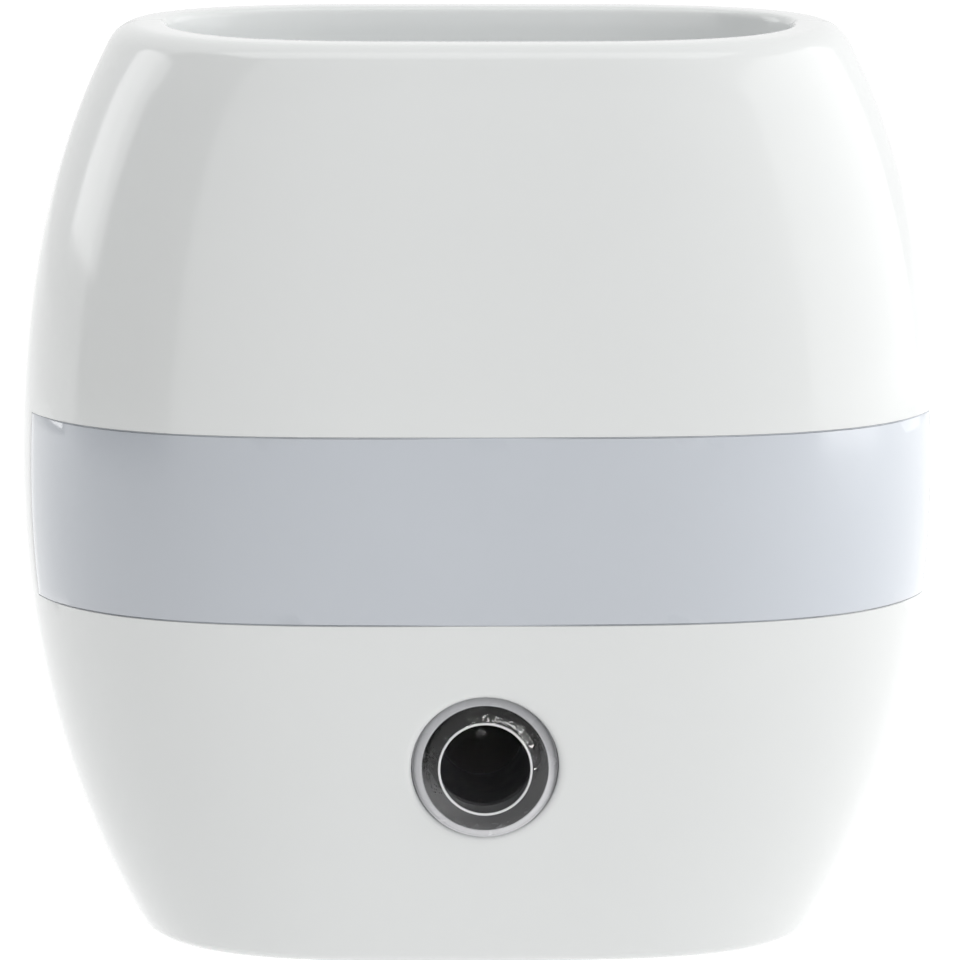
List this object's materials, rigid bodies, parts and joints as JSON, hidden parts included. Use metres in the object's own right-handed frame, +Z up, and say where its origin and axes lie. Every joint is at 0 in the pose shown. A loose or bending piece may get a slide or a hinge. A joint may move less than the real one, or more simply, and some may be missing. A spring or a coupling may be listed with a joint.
{
  "type": "plug in night light",
  "caption": "Barrel-shaped plug-in night light with an open rimmed top, a translucent band round its front, a round twilight sensor window and a flat two-pin plug at the back.",
  "frame": {"origin": "middle of the plug's face, between the two pins, where the face meets the socket", "axes": "+X right as seen from the front, +Y into the wall socket along the pins, +Z up"},
  "size_m": [0.065, 0.0685, 0.0654],
  "materials": {
    "shell": "glossy white",
    "band": "translucent pale grey-blue",
    "opal": "opal",
    "chamber": "matte white",
    "white_board": "white solder mask",
    "green_board": "green solder mask",
    "led": "clear yellowish epoxy",
    "clear": "clear",
    "black_plastic": "matte black",
    "film": "yellow case",
    "capacitor_sleeve": "dark shrink sleeve",
    "package": "moulded epoxy",
    "fuse_body": "grey-green lacquer",
    "resistor_body": "beige lacquer",
    "diode_glass": "orange glass",
    "sheet": "pressed board",
    "screw_steel": "zinc plated",
    "plated_brass": "nickel-plated brass",
    "pin_sleeve": "moulded sleeve",
    "spring_brass": "rolled strip"
  },
  "bodies": {
    "root": {"front_shell": "shell", "rear_shell": "shell", "light_band": "band", "top_tray": "opal", "light_chamber": "chamber", "led_board": "white_board", "band_leds": "led", "top_leds": "led", "sensor_lens": "clear", "sensor_baffle": "black_plastic", "phototransistor": "clear", "main_board": "green_board", "film_capacitor": "film", "smoothing_capacitor": "capacitor_sleeve", "bridge_rectifier": "package", "fuse_resistor": "fuse_body", "bleed_resistors": "resistor_body", "zener_diode": "diode_glass", "drive_transistor": "package", "control_chip": "package", "board_header": "black_plastic", "insulating_sheet": "sheet", "board_screws": "screw_steel", "housing_screws": "screw_steel", "plug_body": "shell", "plug_pin_left": "plated_brass", "plug_pin_right": "plated_brass", "pin_sleeve_left": "pin_sleeve", "pin_sleeve_right": "pin_sleeve", "contact_spring_left": "spring_brass", "contact_spring_right": "spring_brass"}
  },
  "joints": []
}
